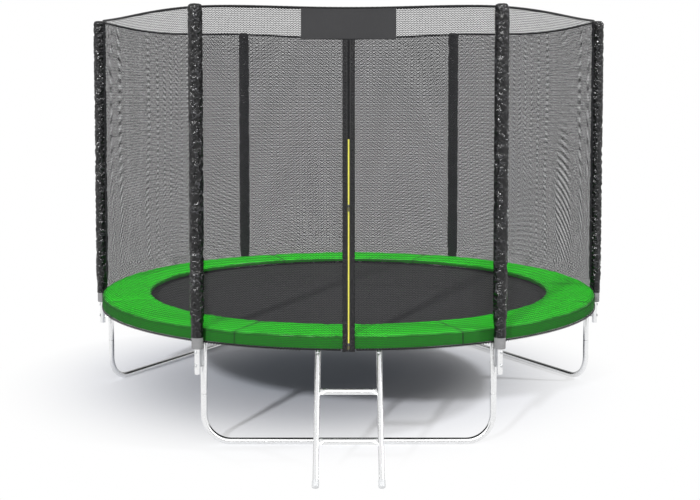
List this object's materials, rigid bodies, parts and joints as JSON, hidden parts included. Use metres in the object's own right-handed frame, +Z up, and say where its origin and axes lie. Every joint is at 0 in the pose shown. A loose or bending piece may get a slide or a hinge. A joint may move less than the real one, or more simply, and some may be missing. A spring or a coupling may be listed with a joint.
{
  "type": "backyard trampoline",
  "caption": "Round backyard trampoline: sprung mat in a tubular ring on U-shaped leg bases, green spring pad, outside safety net on padded poles with a zipped door, and a hook-on ladder.",
  "frame": {"origin": "on the ground, in the middle of the footprint's bounding box (ladder included)", "axes": "+Z up, -Y toward the front with the zipped door and the ladder, +X to the right seen from the front"},
  "size_m": [3.2764, 3.6286, 2.342],
  "materials": {
    "galvanised_steel": "bright zinc-coated tube",
    "zinc_hardware": "zinc-plated bolts, nuts and saddles",
    "spring_steel": "zinc-plated spring wire",
    "grey_foam": "closed-cell foam sleeve",
    "black_vinyl": "gathered glossy vinyl",
    "green_vinyl": "padded green vinyl",
    "black_mesh": "tightly woven mat",
    "net_mesh": "open knitted net",
    "black_webbing": "woven tape and cord",
    "banner_cloth": "plain coated cloth",
    "slider_metal": "dark lacquer",
    "foot_plastic": "pale moulded caps"
  },
  "bodies": {
    "frame": {"top_rail_1": "galvanised_steel", "top_rail_2": "galvanised_steel", "top_rail_3": "galvanised_steel", "top_rail_4": "galvanised_steel", "top_rail_5": "galvanised_steel", "top_rail_6": "galvanised_steel", "leg_base_1": "galvanised_steel", "leg_base_2": "galvanised_steel", "leg_base_3": "galvanised_steel", "leg_upright_1": "galvanised_steel", "leg_upright_2": "galvanised_steel", "leg_upright_3": "galvanised_steel", "leg_upright_4": "galvanised_steel", "leg_upright_5": "galvanised_steel", "leg_upright_6": "galvanised_steel", "pole_lower_1": "galvanised_steel", "pole_lower_2": "galvanised_steel", "pole_lower_3": "galvanised_steel", "pole_lower_4": "galvanised_steel", "pole_lower_5": "galvanised_steel", "pole_lower_6": "galvanised_steel", "pole_upper_1": "galvanised_steel", "pole_upper_2": "galvanised_steel", "pole_upper_3": "galvanised_steel", "pole_upper_4": "galvanised_steel", "pole_upper_5": "galvanised_steel", "pole_upper_6": "galvanised_steel", "pole_foam_1": "grey_foam", "pole_foam_2": "grey_foam", "pole_foam_3": "grey_foam", "pole_foam_4": "grey_foam", "pole_foam_5": "grey_foam", "pole_foam_6": "grey_foam", "pole_cover_1": "black_vinyl", "pole_cover_2": "black_vinyl", "pole_cover_3": "black_vinyl", "pole_cover_4": "black_vinyl", "pole_cover_5": "black_vinyl", "pole_cover_6": "black_vinyl", "pole_fixing_1": "zinc_hardware", "pole_fixing_2": "zinc_hardware", "pole_fixing_3": "zinc_hardware", "pole_fixing_4": "zinc_hardware", "pole_fixing_5": "zinc_hardware", "pole_fixing_6": "zinc_hardware", "springs": "spring_steel", "spring_pad": "green_vinyl", "safety_net": "net_mesh", "net_top_cord": "black_webbing", "banner": "banner_cloth", "door_tape": "black_webbing"},
    "jumping_mat": {"mat": "black_mesh"},
    "ladder": {"ladder_rail_left": "galvanised_steel", "ladder_rail_right": "galvanised_steel", "ladder_rung_lower": "galvanised_steel", "ladder_rung_upper": "galvanised_steel", "ladder_foot_left": "foot_plastic", "ladder_foot_right": "foot_plastic"},
    "zip_slider_upper": {"zip_slider_upper": "slider_metal"},
    "zip_slider_lower": {"zip_slider_lower": "slider_metal"}
  },
  "joints": [
    {"name": "mat_bounce", "type": "slide", "parent": "frame", "child": "jumping_mat", "axis": [0, 0, 1], "range_m": [-0.25, 0.008], "stiffness_N_per_m": 4000, "springref_m": 0.0072, "deforming": ["springs"]},
    {"name": "ladder_swing", "type": "hinge", "parent": "frame", "child": "ladder", "pos_m": [0, -1.28592, 0.59], "axis": [-1, 0, 0], "range_deg": [0, 15]},
    {"name": "zip_slide_upper", "type": "slide", "parent": "frame", "child": "zip_slider_upper", "axis": [0, 0.027, 0.9996], "range_m": [-0.33, 0.32]},
    {"name": "zip_slide_lower", "type": "slide", "parent": "frame", "child": "zip_slider_lower", "axis": [0, 0.027, 0.9996], "range_m": [0, 0.33]}
  ]
}
